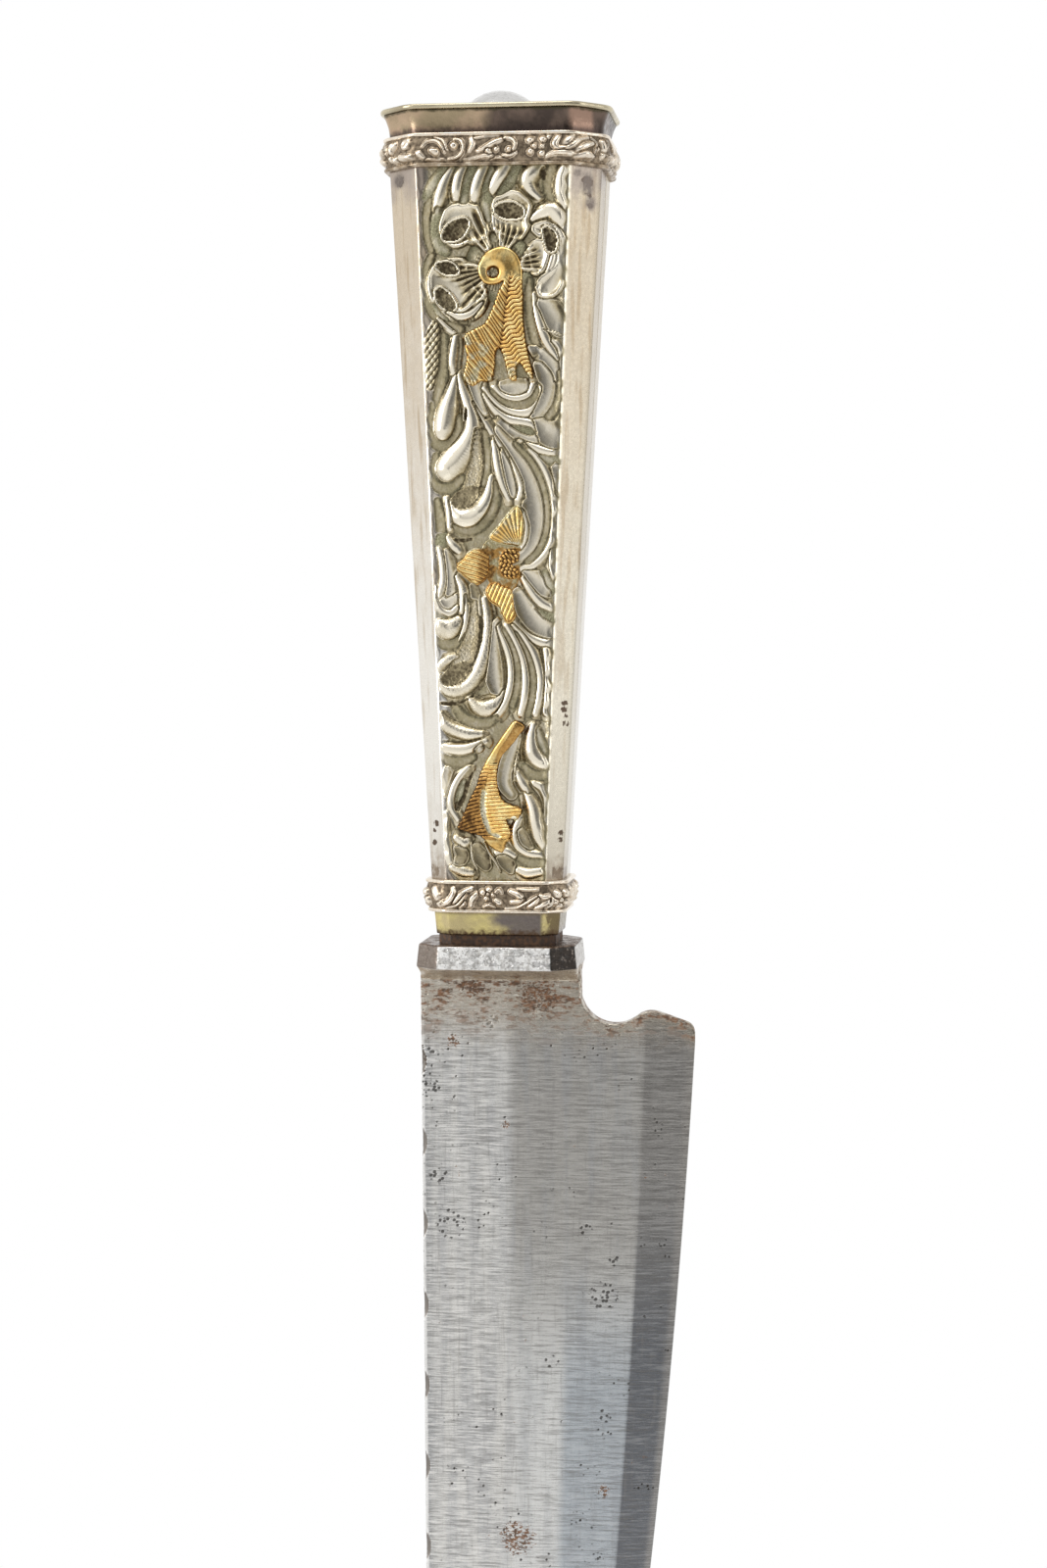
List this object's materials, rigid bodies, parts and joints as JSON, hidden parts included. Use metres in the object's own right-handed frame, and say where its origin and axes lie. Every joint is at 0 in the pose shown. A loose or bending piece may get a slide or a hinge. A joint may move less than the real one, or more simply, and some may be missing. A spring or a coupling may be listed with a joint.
{
  "type": "gaucho knife",
  "caption": "Fixed blade knife with a faceted steel blade, integral bolster and a tapered octagonal chased metal handle with gold leaves.",
  "frame": {"origin": "on the handle's long axis, at the plane where the handle seats on the bolster", "axes": "+Z along the handle to the pommel, the blade points to -Z; +X towards the cutting edge; -Y out of the chased face"},
  "size_m": [0.0427, 0.0228, 0.3221],
  "materials": {
    "blade_steel": "ground carbon steel, stained and pitted",
    "dark_plate": "dark tarnish and rust bloom",
    "ferrule_metal": "yellowed nickel silver with dark tarnish",
    "band_metal": "bright ridges over brown recesses",
    "chased_silver": "chased nickel silver, tarnished in the recesses",
    "plain_silver": "plain polished nickel silver with fine pits",
    "gold": "engraved gold leaf",
    "collar_metal": "brown tarnish",
    "end_plate": "yellowed, bright at the rim",
    "button_silver": "polished",
    "core_wood": "bare hardwood"
  },
  "bodies": {
    "root": {"blade": "blade_steel", "ferrule_plate": "dark_plate", "ferrule": "ferrule_metal", "lower_band": "band_metal", "shell_front": "chased_silver", "shell_back": "plain_silver", "gold_scroll_leaf": "gold", "gold_flower": "gold", "gold_palmette": "gold", "upper_band": "band_metal", "pommel_collar": "collar_metal", "pommel_plate": "end_plate", "pommel_button": "button_silver", "handle_core": "core_wood"}
  },
  "joints": []
}
